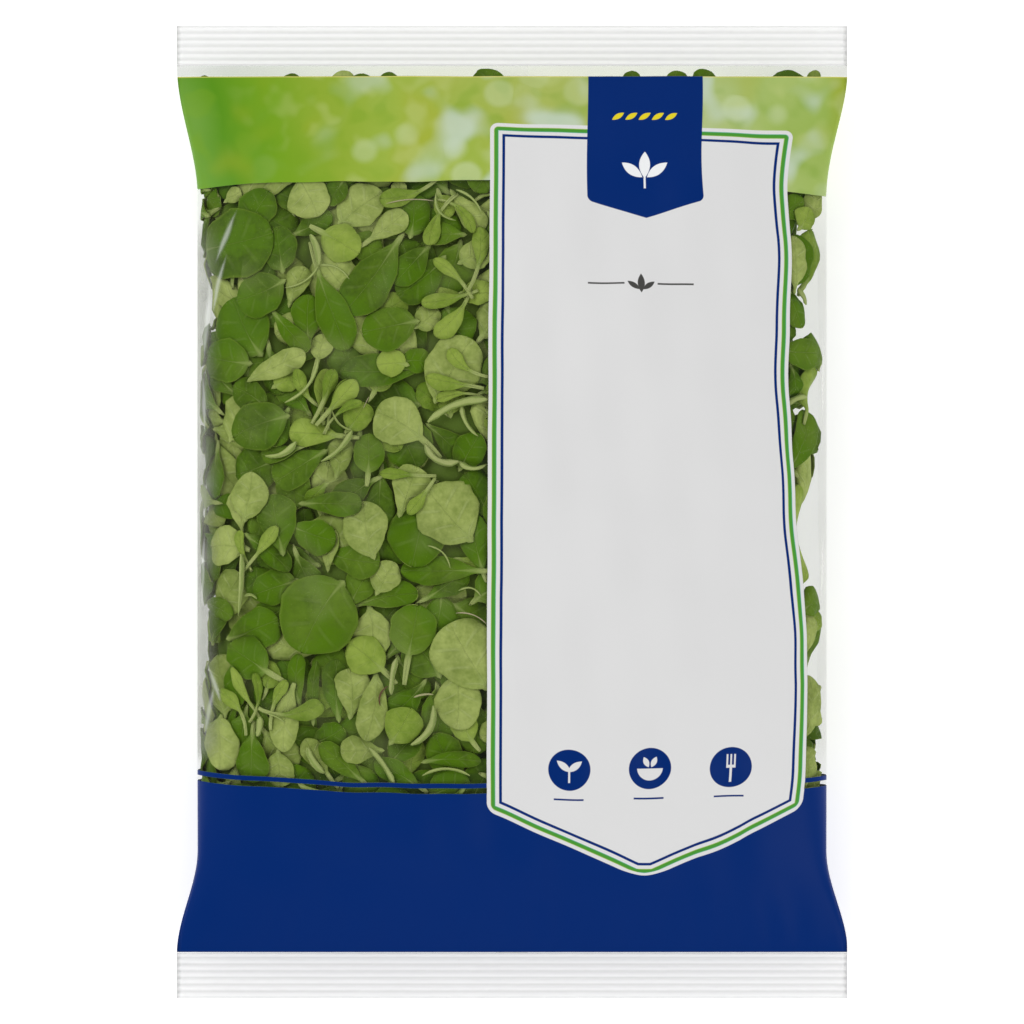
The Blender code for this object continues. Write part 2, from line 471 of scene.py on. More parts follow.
def stem_material():
    """Stem: wet pale green with fine lengthwise streaks. A root is dull pinkish white, and one is brown."""
    material, shader, place = new_material("leaf_stem", 0.4)
    green, offset, turn = place.attribute("stem_look")
    mottle = place.noise(260.0, 2.0)
    streaks = abs((turn * 3.0 + offset + mottle * 0.5).maths("FRACT") - 0.5) * 2
    colour = green.between(0.0, 0.8).colours(ink(196, 184, 150), ink(172, 186, 112))
    colour = (1 - green.between(-0.5, -0.1)).colours(colour, ink(104, 76, 54))
    colour = (streaks.between(0.35, 0.85) * green.between(0.2, 0.6) * 0.6).colours(colour, ink(116, 144, 56))
    feed(colour, shader, "Base Color")
    feed(streaks.bump(0.4, 0.0005), shader, "Normal")
    shader.inputs["Specular IOR Level"].default_value = 0.15
    return material


stems.data.materials.append(stem_material())

# Each leaf is a grid with rows along its stalk and blade, closest at the tip, and columns across, closest at
# the edges. PRESSED_SHARE is how much of it the leaves above press down on
STALK_ROWS, BLADE_ROWS, LEAF_COLUMNS = 5, 16, 9
FINE_LEAF_ROWS, FINE_LEAF_COLUMNS = 70, 40
PRESSED_SHARE = 0.5
leaf_across = np.sin(np.pi / 2 * np.linspace(-1, 1, LEAF_COLUMNS))
leaf_side = np.sign(leaf_across)
blade_share = (1 - np.cos(np.pi * np.linspace(0, 1, BLADE_ROWS) ** 0.9)) / 2
finer_rows = np.linspace(0, STALK_ROWS + BLADE_ROWS - 1, FINE_LEAF_ROWS)
finer_columns = np.linspace(0, LEAF_COLUMNS - 1, FINE_LEAF_COLUMNS)


def finer(grid):
    """The grid read linearly at evenly spaced rows and columns that lie less than a cell apart."""
    rows = np.stack([np.interp(finer_rows, np.arange(len(grid)), column) for column in grid.T], axis=1)
    return np.stack([np.interp(finer_columns, np.arange(rows.shape[1]), row) for row in rows])


def leaf_outline(along, blade, wide, stalk, end_taper):
    """Half the width at each row: q^a (1 - q)^b over the share q of the blade, joined to the stalk's own."""
    share = np.clip(along / blade, 0.0, 1.0)
    foot_power = (0.55 if wide > 0.78 * blade else 0.95) + chance.uniform(-0.08, 0.16)
    tip_power = chance.uniform(0.42, 0.62)
    peak = foot_power / (foot_power + tip_power)
    shape = (share / peak) ** foot_power * ((1 - share) / (1 - peak)) ** tip_power
    stalk_width = STALK_HALF_WIDTH * (0.55 + wide / 0.020) * (1 - share) ** 0.7
    stalk_width = stalk_width * (1 - end_taper * np.clip(-along / stalk, 0, 1) ** 2)
    return np.sqrt((wide / 2 * shape) ** 2 + stalk_width**2) + 0.00004


def leaf_spine(along, blade, direction):
    """Places along the midrib, summed from steps in its changing direction, from the blade's middle."""
    turn = (direction[1:] + direction[:-1]) / 2
    steps = np.diff(along)[:, None] * np.stack([np.cos(turn), np.sin(turn)], 1)
    spine = np.concatenate([[[0.0, 0.0]], np.cumsum(steps, 0)])
    return spine - [np.interp(0.5 * blade, along, places) for places in spine.T]


def lay_leaf(leaves, middle, heading, blade, wide, stalk, side, tone,
             fold=0.0, roll=0.0, bend=0.0, dive=0.5, end_taper=0.9):
    """Lays one leaf under those laid before it, and adds its middle surface and looks to the list.

    Along a midrib that turns by bend, each half is turned up by fold and the whole by roll, the edges wave,
    and the stalk dives. The leaf sinks until half of it clears what lies above, and the rest is pressed down.
    """
    global taken_soft
    along = np.concatenate([-stalk * np.linspace(1, 0, STALK_ROWS, endpoint=False), blade * blade_share])
    half = leaf_outline(along, blade, wide, stalk, end_taper)
    direction = heading + bend * (along / blade - 0.5)
    spine = leaf_spine(along, blade, direction)
    share = np.clip(along / blade, 0.0, 1.0)[:, None]
    lobes, start = chance.uniform(1.2, 2.6), chance.uniform(0, 6.3)
    uneven = 0.05 * np.sin(2 * np.pi * lobes * share + start + 2.1 * leaf_side)
    uneven = uneven + 0.018 * np.sin(2 * np.pi * 3.3 * lobes * share + 2 * start + leaf_side)
    uneven = uneven + chance.uniform(-0.10, 0.10) * leaf_side
    sideways = half[:, None] * leaf_across * (1 + uneven * np.minimum(1, 3 * share))
    fold_here = fold * (0.35 + 0.65 * (1 - share))
    lift = -np.abs(sideways) * np.sin(fold_here)
    flat = sideways * np.cos(fold_here)
    across = flat * math.cos(roll) - lift * math.sin(roll)
    depth = flat * math.sin(roll) + lift * math.cos(roll)
    waves, curl, cup = chance.uniform(1.2, 2.4), chance.uniform(-0.25, 0.40), chance.uniform(-0.10, 0.16)
    edge_wave = np.sin(2 * np.pi * waves * share + 3 * start + 1.7 * leaf_side)
    depth = depth + 0.065 * wide * np.abs(leaf_across) ** 2.5 * edge_wave * np.minimum(1, 2 * share)
    depth = depth + curl * blade * (share - 0.45) ** 2 + cup * wide * leaf_across**2 * share
    depth = depth + dive * np.maximum(0.25 * blade - along[:, None], 0.0) ** 1.3 * 2.2
    way_round = middle[0] + spine[:, :1] + across * np.sin(direction)[:, None]
    way_up = middle[1] + spine[:, 1:] - across * np.cos(direction)[:, None]
    way_up = np.clip(way_up, BOTTOM_SEAL + 0.0012, FILM_LENGTH - TOP_SEAL - 0.0012)
    clearance = read_table(taken_soft, way_round, way_up) + LEAF_GAP
    settled = depth + np.quantile(clearance - depth, PRESSED_SHARE)
    depth = (settled + clearance + np.sqrt((settled - clearance) ** 2 + 0.0005**2)) / 2
    np.maximum.at(taken, cells_at(finer(way_round), finer(way_up)), finer(depth) + BLADE_THICKNESS / 2)
    taken_soft = softened(taken)
    stalk_share = smooth_step(-along / blade, -0.35, 0.05)[:, None]
    thickness = BLADE_THICKNESS + (STALK_THICKNESS - BLADE_THICKNESS) * stalk_share * (1 - leaf_across**2)
    everywhere = 0 * across
    along_share = (along / blade)[:, None] + everywhere
    leaves.append({
        "middle": inside_film(way_round, way_up, depth),
        "thickness": thickness + everywhere,
        "place": np.stack([sideways, along_share, np.abs(leaf_across) + everywhere], -1),
        "look": (1.0 if side == "under" else 0.0, tone, 1.0 if side == "young" else 0.0),
    })


taken_soft = softened(taken)
front_leaves, inner_leaves, back_leaves, young_leaves = [], [], [], []

# Small plants that still hold together: place of the root end in mm from the bag's middle, the heading of
# the fan of leaves, how far it spreads, and the number of leaves
PLANTS = (
    (-70, 31, 65, 75, 6), (-90, -76, 85, 120, 5), (-24, 116, -110, 110, 3), (-27, 12, 205, 60, 2),
    (-10, 44, 165, 50, 3), (-96, -22, 80, 50, 2), (-12, 78, 160, 140, 4),
)
for x, y, heading, spread, number in PLANTS:
    root = way_of(x / 1000, y / 1000)
    for turn in np.linspace(-0.5, 0.5, number):
        blade = chance.uniform(0.010, 0.016)
        stalk = chance.uniform(0.005, 0.010)
        direction = math.radians(heading + spread * turn + chance.uniform(-9, 9))
        reach = stalk + blade / 2
        middle = (root[0] + reach * math.cos(direction), root[1] + reach * math.sin(direction))
        lay_leaf(young_leaves, middle, direction, blade, blade * chance.uniform(0.35, 0.6), stalk, "young",
                 chance.uniform(0.2, 0.9), fold=chance.uniform(0.2, 0.8), roll=chance.uniform(-0.6, 0.6),
                 bend=chance.uniform(-0.8, 0.8), dive=0.0, end_taper=0.2)

# The leaves that show most: middle of the blade in mm from the bag's middle, its length and width in mm,
# its heading in degrees, the side that shows, its tone from dull to bright, and for some the fold in degrees
# and the length of stalk that shows in mm
SHOWN_LEAVES = (
    (-99.5, 96, 30, 26, 10, "top", 0.35), (-69, -37, 29, 29, 240, "top", 0.8),
    (-64, 71, 29, 14, -68, "top", 0.75, 35, 13), (-61, 96, 15, 14, -30, "young", 0.75, 0, 6),
    (-23, -1, 24, 24, 130, "under", 0.5), (-16, -51, 26, 24, 120, "under", 0.5),
    (-40, 32, 19, 18, 150, "under", 0.5, 0, 10), (-21, 51, 25, 20, 60, "under", 0.45),
    (-22, 41, 12, 10, 90, "young", 0.6), (-52, -51, 16, 14, 140, "young", 0.7, 0, 7),
    (-35, -42, 18, 18, 80, "top", 0.95, 30, 11), (-95, -52, 18, 16, 150, "top", 0.5, 0, 8),
    (-81, -74, 24, 10, -100, "under", 0.5, 0, 2), (-94, 6, 17, 15, 80, "under", 0.45),
    (-84, -4, 21, 15, 100, "top", 0.55), (-87, -14, 21, 9, -37, "top", 0.15, -25, 0),
    (-104, -12, 16, 15, 180, "under", 0.8, 0, 3), (-71, 28, 17, 10, 175, "young", 0.8, 0, 8),
    (-55, 34, 11, 11, 60, "young", 0.5, 0, 2), (-84, 52, 22, 9, 25, "under", 0.55),
    (-80, 47, 10, 9, 20, "young", 0.6), (-103, 54, 19, 16, 170, "top", 0.6),
    (-90, 78, 18, 17, 200, "top", 0.5), (-72, 112, 16, 16, -60, "under", 0.6),
    (-63, 114, 11, 9, 240, "top", 0.4), (-54, 109, 19, 16, 40, "under", 0.5),
    (-44, 102, 16, 10, 40, "under", 0.5, 0, 5), (-35, 106, 16, 13, 90, "top", 0.3),
    (-16, 107, 18, 9, -50, "under", 0.6), (-24, 109, 9, 8, -60, "young", 0.8, 0, 3),
    (-24, 99, 13, 9, 180, "top", 0.9, 20, 0), (-41, 114, 9, 6, 70, "under", 0.6),
    (-50, 83, 31, 17, -125, "top", 0.45, 18, 5), (-36, 88, 18, 11, -130, "top", 0.35),
    (-32, 83, 21, 15, -140, "top", 0.35), (-13, 92, 12, 11, 30, "under", 0.5),
    (-12, 78, 11, 9, 0, "young", 0.8), (-25, 77, 13, 7, 190, "young", 0.9, 20, 3),
    (-44, 66, 19, 16, 190, "top", 0.7), (-30, 69, 10, 9, 40, "under", 0.3),
    (-20, 66, 15, 15, -60, "top", 0.25), (-79, 64, 19, 7, -48, "top", 0.75),
    (-73, 69, 17, 11, 90, "top", 0.6), (-68, 59, 9, 8, 80, "under", 0.6, 0, 9),
    (-43, 53, 10, 10, 180, "young", 1), (-34, 54, 10, 9, 0, "top", 1, 0, 1),
    (-47, 50, 28, 12, 180, "top", 0.3), (-91, 31, 22, 18, 200, "top", 0.4),
    (-94, 42, 15, 12, 150, "top", 0.35), (-83, 30, 14, 9, -110, "top", 0.8, 25, 0),
    (-83, 21, 14, 7, 190, "top", 0.9, 25, 5), (-76, 16, 21, 13, -150, "top", 0.5),
    (-51, 21, 14, 11, 90, "top", 0.7, 0, 5), (-61, 20, 14, 9, 80, "under", 0.2),
    (-15, 22, 14, 12, 60, "top", 0.3), (-71, -8, 17, 13, -20, "top", 0.8, 0, 9),
    (-64, 3, 21, 9, 0, "top", 0.45), (-52, -6, 20, 16, 100, "under", 0.4),
    (-37, 8, 18, 14, 70, "under", 0.5), (-33, -7, 26, 21, -100, "top", 0.4),
    (-65, -13, 14, 6, 80, "under", 0.5), (-57, -17, 20, 13, -10, "top", 0.7),
    (-26, -21, 27, 11, 180, "top", 0.6, 0, 7), (-13, -11, 21, 11, 100, "top", 0.5, 0, 4),
    (-45, -23, 12, 11, 60, "under", 0.5), (-54, -26, 16, 12, 60, "top", 0.8),
    (-44, -30, 21, 10, 10, "top", 1, 35, 3), (-31, -51, 17, 16, 130, "top", 0.4),
    (-19, -68, 19, 17, -90, "under", 0.55), (-17, -76, 12, 10, 110, "young", 0.7, 0, 5),
    (-39, -76, 14, 14, 60, "young", 0.5), (-49, -70, 24, 11, -100, "under", 0.45),
    (-57, -64, 17, 13, 90, "under", 0.4), (-93, -42, 22, 15, 20, "top", 0.5),
    (-93, -88, 18, 14, -95, "top", 0.5, 0, 5), (-105, -83, 19, 15, -90, "under", 0.6),
    (-101, -62, 16, 11, -80, "top", 0.5), (-77, -60, 19, 6, 90, "top", 0.6),
    (-71, -64, 22, 4, 85, "top", 0.3), (-63, -63, 21, 9, 90, "top", 0.3),
    (-88, -40, 10, 9, 180, "under", 0.3), (-85, -27, 16, 13, 200, "top", 0.3),
    (-54, -85, 14, 10, 180, "under", 0.2), (-61, -89, 19, 9, 140, "top", 0.7, 20, 4),
    (-41, -93, 18, 9, 150, "top", 0.6, 15, 4), (-21, -88, 20, 6, 0, "top", 0.4),
    (-83, -92, 13, 11, -90, "under", 0.1), (-70, -87, 14, 9, 120, "under", 0.3, 0, 7),
    (-65, -80, 12, 10, 30, "top", 0.2), (-91, 108, 16, 15, 60, "top", 0.3),
    (-100, 113, 7, 6, 30, "under", 0.4), (-96, 66, 24, 22, 120, "top", 0.25),
    (-83, 94, 16, 13, 100, "top", 0.3), (-77, 81, 14, 9, 70, "under", 0.3),
    (-52, 95, 12, 11, -20, "top", 0.7), (106, 105, 9, 9, 60, "young", 0.7),
    (101, 109, 12, 10, 30, "top", 0.9), (110, 110, 12, 9, 80, "under", 0.2),
    (102, 89, 20, 12, 90, "under", 0.55), (104, 89, 21, 14, 85, "top", 0.9),
    (110, 91, 21, 12, 80, "young", 0.2, 0, 5), (102, 73, 16, 13, -60, "top", 1),
    (104, 57, 18, 12, 0, "top", 1), (102, 46, 12, 8, -80, "top", 0.2),
    (109, 44, 17, 11, 80, "young", 0.5, 0, 5), (105, 25, 25, 12, 65, "top", 1),
    (104.5, 1, 18, 8, 90, "young", 0.7), (107.5, -19, 15, 8, 80, "young", 0.7),
    (109, -32, 12, 11, 30, "top", 0.9), (105, -30, 12, 6, 90, "young", 0.6),
    (108, -43, 14, 8, 80, "under", 0.5), (105, -57, 16, 8, 80, "under", 0.3),
    (108, -70, 24, 11, 80, "under", 0.4), (107, -90, 13, 11, 90, "under", 0.3),
    (-110, 153, 7, 5, 90, "top", 0.5), (-79, 152, 11, 8, 80, "top", 0.4),
    (-60, 153, 11, 9, 100, "under", 0.4), (-54, 152, 11, 8, 80, "top", 0.6),
    (-44, 153, 10, 9, 90, "top", 0.5), (-8, 153, 12, 13, 70, "top", 0.4),
    (43, 153, 11, 7, 90, "top", 0.4), (59, 153, 11, 8, 100, "top", 0.6), (68, 153, 12, 9, 60, "top", 0.5),
    (98, 152, 13, 15, 120, "top", 0.4), (108, 154, 9, 5, 80, "young", 0.6),
)
HIDDEN_STALK = 0.0015
for x, y, blade, wide, heading, side, tone, *folds in SHOWN_LEAVES:
    fold, stalk = folds or (0, 0)
    lay_leaf(young_leaves if side == "young" else front_leaves, way_of(x / 1000, y / 1000),
             math.radians(heading), blade / 1000, wide / 1000, stalk / 1000 or HIDDEN_STALK, side, tone,
             fold=math.radians(fold), roll=chance.uniform(-0.25, 0.25), bend=chance.uniform(-0.45, 0.45),
             dive=0.1 if stalk else 0.8, end_taper=0.4 if stalk else 0.9)

# The rest fill the emptiest places behind the clear film: of PLACES_TRIED places drawn, each leaf takes the
# one with least above it and NEARBY. Ways round and up of each clear field, and how many leaves lie behind it
PLACES_TRIED = 16
NEARBY = 0.005
CLEAR_FIELDS = (
    (-0.125, -0.116, 0.076, 0.308, 30, inner_leaves),
    (-0.119, -0.090, 0.066, 0.082, 12, inner_leaves),
    (0.104, 0.118, 0.067, 0.082, 5, inner_leaves),
    (-0.119, 0.000, 0.070, 0.312, 232, inner_leaves),
    (0.094, 0.115, 0.074, 0.312, 48, inner_leaves),
    (0.129, 0.240, 0.080, 0.312, 118, back_leaves),
    (-0.240, -0.124, 0.080, 0.312, 122, back_leaves),
)
for first_round, last_round, first_up, last_up, number, leaves in CLEAR_FIELDS:
    for _ in range(number):
        rounds = chance.uniform(first_round, last_round, PLACES_TRIED)
        ups = chance.uniform(first_up, last_up, PLACES_TRIED)
        taken_there = 0.0
        for turn in (0.0, 1.57, 3.14, 4.71):
            beside = (rounds + NEARBY * math.cos(turn), ups + NEARBY * math.sin(turn))
            taken_there = taken_there + read_table(taken_soft, *beside)
        best = np.argmin(taken_there)
        young = chance.random() < 0.16
        blade = chance.uniform(0.009, 0.013) if young else chance.uniform(0.014, 0.023)
        side = "young" if young else ("under" if chance.random() < 0.24 else "top")
        lay_leaf(young_leaves if young else leaves, (rounds[best], ups[best]), chance.uniform(0, 6.28), blade,
                 blade * chance.uniform(0.5, 1.0), chance.uniform(HIDDEN_STALK, 0.005), side,
                 chance.uniform(0.0, 0.8), fold=math.radians(chance.choice([0, 0, 12, 25, 40])),
                 roll=chance.uniform(-0.3, 0.3), bend=chance.uniform(-0.5, 0.5),
                 dive=chance.uniform(0.05, 0.6))


def closed_sheets(leaves):
    """Points and triangles of closed thin sheets: each middle surface moved half its thickness both ways.

    Both faces are split along the same diagonals, and a band of triangles round the edge joins them.
    """
    middles = np.stack([leaf["middle"] for leaf in leaves])
    halves = np.stack([leaf["thickness"] for leaf in leaves])[..., None] / 2
    normals = np.cross(np.gradient(middles, axis=2), np.gradient(middles, axis=1))
    normals = normals / (np.linalg.norm(normals, axis=-1, keepdims=True) + 1e-12)
    points = np.stack([middles + normals * halves, middles - normals * halves], axis=1)
    number, rows, columns = middles.shape[:3]
    index = np.arange(rows * columns).reshape(rows, columns)
    corners = np.stack([index[:-1, :-1], index[:-1, 1:], index[1:, 1:], index[1:, :-1]], -1).reshape(-1, 4)
    outer = np.concatenate([corners[:, [0, 1, 2]], corners[:, [0, 2, 3]]])
    inner = outer[:, ::-1] + rows * columns
    edge = np.concatenate([index[0, :-1], index[:-1, -1], index[-1, :0:-1], index[:0:-1, 0]])
    following = np.roll(edge, -1)
    below, following_below = edge + rows * columns, following + rows * columns
    band = [np.stack([edge, below, following_below], 1), np.stack([edge, following_below, following], 1)]
    triangles = np.concatenate([outer, inner, *band])
    starts = np.arange(number) * 2 * rows * columns
    return points.reshape(-1, 3), (triangles[None] + starts[:, None, None]).reshape(-1, 3)


def leaf_material():
    """Leaf: deep green above, fuller where it lies wet against the film, and matt grey-green below.

    The attribute leaf_place holds the distance from the midrib, the share of the blade and the nearness
    to the edge, and leaf_look holds the side that shows, the tone and whether the leaf is young. The side
    veins leave the midrib in arcs: they lie where 3.4 share - edge + edge² / 3 is a whole number.
    """
    material, shader, place = new_material("salad_leaf", 0.45)
    aside, share, edge = place.attribute("leaf_place")
    under, tone, young = place.attribute("leaf_look")
    aside_mm = abs(aside) * 1000
    mottle = place.noise(130.0, 3.0, 0.8)
    patches = place.noise(50.0, 0.0)
    wet = (patches + mottle * 0.35).between(0.62, 0.80)
    dry = (tone * 0.6 + mottle).between(0.35, 1.25).colours(ink(60, 88, 12), ink(102, 134, 34))
    upper = (wet * 0.75).colours(dry, ink(82, 122, 4))
    lower = (tone * 0.5 + mottle * 1.1).between(0.40, 1.15).colours(ink(126, 145, 66), ink(182, 197, 112))
    fresh = (tone * 0.6 + mottle * 0.9).between(0.30, 1.15).colours(ink(100, 132, 28), ink(160, 182, 80))
    blade = young.colours(under.colours(upper, lower), fresh)
    blade = (edge.between(0.35, 0.95) * (0.20 - 0.10 * under)).colours(blade, ink(56, 86, 12))

    flush = (1 - share.between(-0.05, 0.32)) * (1 - edge * 0.6)
    blade = (flush * 0.45).colours(blade, ink(140, 164, 78))
    arc = (share * 3.4 - edge + edge * edge * 0.33 + 0.5).maths("FRACT")
    veins = (1 - abs(arc - 0.5).between(0.03, 0.12)) * edge.between(0.03, 0.2) * (1 - edge.between(0.55, 0.9))
    blade = (veins * (0.06 + 0.24 * under)).colours(blade, ink(180, 194, 126))
    rib_width = 0.18 + 0.85 * (1 - share.between(-0.1, 0.5)) ** 2
    rib = 1 - (aside_mm / rib_width).between(0.2, 1.3)
    blade = (rib * (0.50 - 0.34 * share.between(0.0, 0.5))).colours(blade, ink(158, 176, 100))
    # A thin pale rim along the edge: a painted highlight where light catches the leaf's margin
    rim_highlight = edge.between(0.90, 1.0) * 0.25
    blade = rim_highlight.colours(blade, ink(140, 164, 62))
    stalk = 1 - share.between(-0.20, 0.08)
    streaks = abs((aside_mm * 1.3).maths("FRACT") - 0.5) * 2
    colour = (stalk * (0.62 + 0.28 * streaks)).colours(blade, ink(182, 194, 122))
    feed(colour, shader, "Base Color")
    feed(0.40 + under * 0.22 + mottle * 0.10 - wet * 0.08, shader, "Roughness")
    shader.inputs["Specular IOR Level"].default_value = 0.05
    height = mottle * 0.9 + patches * 3.6 + rib * (under * 0.7 - 0.35) + veins * (under * 0.5 - 0.18)
    height = height + stalk * streaks * 0.3
    feed(height.bump(0.6, 0.0010), shader, "Normal")
    return material


# The heaps of leaves, and whether each is laid at full detail. The sheets that lie behind or underneath keep
# every other row and column
leaf_green = leaf_material()
HEAPS = (
    ("front_leaves", front_leaves, True), ("inner_leaves", inner_leaves, False),
    ("back_leaves", back_leaves, False), ("young_leaves", young_leaves, True),
)
for name, leaves, at_full_detail in HEAPS:
    if not at_full_detail:
        for leaf in leaves:
            leaf.update({part: leaf[part][::2, ::2] for part in ("middle", "thickness", "place")})
    points, triangles = closed_sheets(leaves)
    places = np.stack([np.stack([leaf["place"], leaf["place"]]) for leaf in leaves])
    looks = np.zeros_like(places)
    for order, leaf in enumerate(leaves):
        under, tone, young = leaf["look"]
        looks[order, 0] = (under, tone, young)
        looks[order, 1] = (1 - under, tone, young)
    piece = new_piece(name, points, triangles.tolist(), {"leaf_place": places, "leaf_look": looks})
    piece.data.materials.append(leaf_green)

# The middle of the heap: leaves too deep to be told apart, as one closed body close behind those in front of
# it, which only shows as dark green between them. It follows how deep the leaves reach in each place
CORE_STEP = 2
CORE_GAP = 0.0006
CORE_ENDS = (0.012, 0.010)
CORE_DRAWN_IN = {"left": 0.003, "right": 0.010}
CORE_SMOOTHINGS = 6
core_depth = softened(taken)
for _ in range(CORE_SMOOTHINGS):
    for axis in (0, 1):
        core_depth = (core_depth + np.roll(core_depth, 1, axis) + np.roll(core_depth, -1, axis)) / 3
drawn_in = np.where(on_right, CORE_DRAWN_IN["right"], CORE_DRAWN_IN["left"])
core_depth = core_depth + drawn_in * np.exp(-(from_fold / 0.016) ** 2)
core_rows = np.arange(BOTTOM_SEAL + CORE_ENDS[0], FILM_LENGTH - TOP_SEAL - CORE_ENDS[1], CORE_STEP * CELL)
core_round, core_up = np.meshgrid(ways_round[:-1:CORE_STEP], core_rows)
core_points = inside_film(core_round, core_up, read_table(core_depth, core_round, core_up) + CORE_GAP)
core_index = np.arange(core_round.size).reshape(core_round.shape)


def faces_between(rings):
    """Quads that face out between each ring of points and the next, from the points' numbers."""
    following = np.roll(rings, -1, axis=1)
    return np.stack([rings[:-1], following[:-1], following[1:], rings[1:]], -1).reshape(-1, 4)


core_faces = [*faces_between(core_index).tolist(), core_index[0, ::-1].tolist(), core_index[-1].tolist()]
core = new_piece("leaf_core", core_points, core_faces, {})


def core_material():
    """Shaded leaves seen between those in front: dull greens in soft cells about a leaf across, lifted as
    painted light that stands in for light shining through the leaves in front.
    """
    material, shader, place = new_material("deep_leaves", 0.7)
    shader.inputs["Specular IOR Level"].default_value = 0.1
    cells = place.node("ShaderNodeTexVoronoi", {}, {"Vector": place, "Scale": 90.0, "Randomness": 1.0})
    shade = (cells * 60.0 + place.noise(120.0, 3.0)).between(0.4, 1.5)
    # Both greens are lighter than shaded leaves would be: painted light for the glow through the leaves in
    # front
    feed(shade.colours(ink(128, 154, 58), ink(84, 108, 36)), shader, "Base Color")
    return material


core.data.materials.append(core_material())

# The film: clear, about 40 µm thick, printed with bands all round and a label and a tab in front, and left
# clear between them. It is one closed skin. Each seal is two films pressed together by ridged hot jaws.
SEAL_ROW = CRIMP_PITCH / 8
BODY_ROW = 0.0015
PLEAT_HEIGHT = 0.00022
bottom_rows = np.arange(0.0, BOTTOM_SEAL, SEAL_ROW)
body_rows = np.linspace(BOTTOM_SEAL, FILM_LENGTH - TOP_SEAL, round(BODY_LENGTH / BODY_ROW))
top_rows = np.linspace(FILM_LENGTH - TOP_SEAL + SEAL_ROW, FILM_LENGTH, round(TOP_SEAL / SEAL_ROW))
skin_rows = np.concatenate([bottom_rows, body_rows, top_rows])
skin_columns = ROUND_STEPS // 2
skin_points = film_points(skin_rows)[:, :-1:2]
way_grid, up_grid = np.meshgrid(ways_round[:-1:2], skin_rows)
from_seal = np.minimum(up_grid - BOTTOM_SEAL, FILM_LENGTH - TOP_SEAL - up_grid)
pleats = np.sin(way_grid / 0.0021 + 2.2 * np.sin(way_grid / 0.013)) * np.sin(way_grid / 0.0094 + 0.8)
pleats = (pleats + 0.4) * smooth_step(from_seal, 0.0, 0.006) * (1 - smooth_step(from_seal, 0.006, 0.034))
outward = -read_table(inward, way_grid, up_grid)
outward = outward / (np.linalg.norm(outward, axis=-1, keepdims=True) + 1e-9)
off_floor = smooth_step(skin_points[..., 2], 0.001, 0.004)
skin_points = skin_points + outward * (PLEAT_HEIGHT * pleats * off_floor)[..., None]
skin_index = np.arange(skin_points[..., 0].size).reshape(-1, skin_columns)
skin_faces = faces_between(skin_index)
front_columns = np.arange(skin_columns // 4, 3 * skin_columns // 4)
behind = (skin_columns // 2 - front_columns) % skin_columns
behind_next = (behind - 1) % skin_columns
cap = np.stack([front_columns, behind, behind_next, front_columns + 1], -1)
cap_faces = np.concatenate([skin_index[0][cap], skin_index[-1][cap[:, ::-1]]]).tolist()
cap_faces = [list(dict.fromkeys(face)) for face in cap_faces]
film = new_piece("bag_film", skin_points, skin_faces.tolist() + cap_faces, {})
film_map = film.data.uv_layers.new(name="film")
column_of_corner = np.tile([0, 1, 1, 0], len(skin_faces)) + np.repeat(skin_faces[:, 0] % skin_columns, 4)
row_of_corner = np.tile([0, 0, 1, 1], len(skin_faces)) + np.repeat(skin_faces[:, 0] // skin_columns, 4)
film_places = np.stack([column_of_corner * 2 * CELL, skin_rows[row_of_corner]], -1)
cap_corners = np.array([corner for face in cap_faces for corner in face])
cap_ups = np.where(cap_corners < skin_columns, skin_rows[0], skin_rows[-1])
cap_places = np.stack([np.full(len(cap_corners), FILM_ROUND / 2), cap_ups], -1)
film_map.data.foreach_set("uv", np.concatenate([film_places, cap_places]).astype(np.float32).ravel())
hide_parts("salad_bag")

# The print, in mm of film: the way round from the front's middle and the way up from the bottom edge
NAVY_BAND = (16.5, 79.3)
NAVY_LINE = (81.3, 83.1)
GREEN_BAND = (301.7, 343.4)
LEFT_RISE, RIGHT_RISE = 2.3, 0.4
LABEL_LEFT, LABEL_TOP, LABEL_POINT = -8.55, 323.4, 47.6
LABEL_RIGHT, LABEL_RIGHT_LOW = 101.5, 107.5
LABEL_CORNER = 3.0
BORDER_LINES = (1.4, 3.1, 4.45, 5.5)
TAB_MIDDLE, TAB_HALF_WIDTH, TAB_FOOT, TAB_CORNER = 48.6, 21.4, 288.0, 1.8
LABEL_MIDDLE, ORNAMENT_UP = 46.0, 263.4
SPRIG_UP, BEADS_UP, BEAD_PITCH = 306.0, 327.2, 4.8
SIDE_FOLD = 120.0
EDGE = 0.14
SEAL_LINE = 0.30
LAP_EDGE = 234.0
FILM_ALPHA = 0.075
SEAL_ALPHA = 0.55
FILM_ROUGHNESS, INK_ROUGHER, SEAL_ROUGHER = 0.26, 0.12, 0.10
SEAL_ENDS = (1000 * BOTTOM_SEAL, 1000 * (FILM_LENGTH - TOP_SEAL))
FILM_GREY = ink(84, 88, 52)
NAVY = ink(0, 42, 114)
PANEL = ink(229, 229, 229)
WHITE = ink(247, 249, 250)
BORDER_GREEN = ink(76, 154, 56)
FRINGES = (ink(168, 194, 76), ink(104, 186, 160))
MARK_YELLOW = ink(238, 218, 44)
MARK_GREY = ink(74, 74, 72)
BADGE_PLACES = (20.5, 49.5, 78.5)
BADGE_UP, BADGE_RADIUS = 88.5, 7.6


def inside_all(distances, corner):
    """Distance inside a shape with straight sides and round corners, from the distances to its sides.

    It is corner - |max(corner - d, 0)| near the edge, and the least of the d where that is more than corner.
    """
    total, least = 0.0, distances[0]
    for distance in distances:
        shortfall = (corner - distance).greater(0.0)
        total = shortfall * shortfall + total
        least = least.lesser(distance)
    return corner - total ** 0.5 + (least - corner).greater(0.0)


def leaf_mark(across, up, turn, half_length, half_width):
    """Positive inside a leaf of two arcs about the origin: half width * (1 - (p / half length)²) - |q|."""
    along = across * math.sin(turn) + up * math.cos(turn)
    aside = across * math.cos(turn) - up * math.sin(turn)
    return half_width * (1 - (along / half_length) ** 2) - abs(aside)


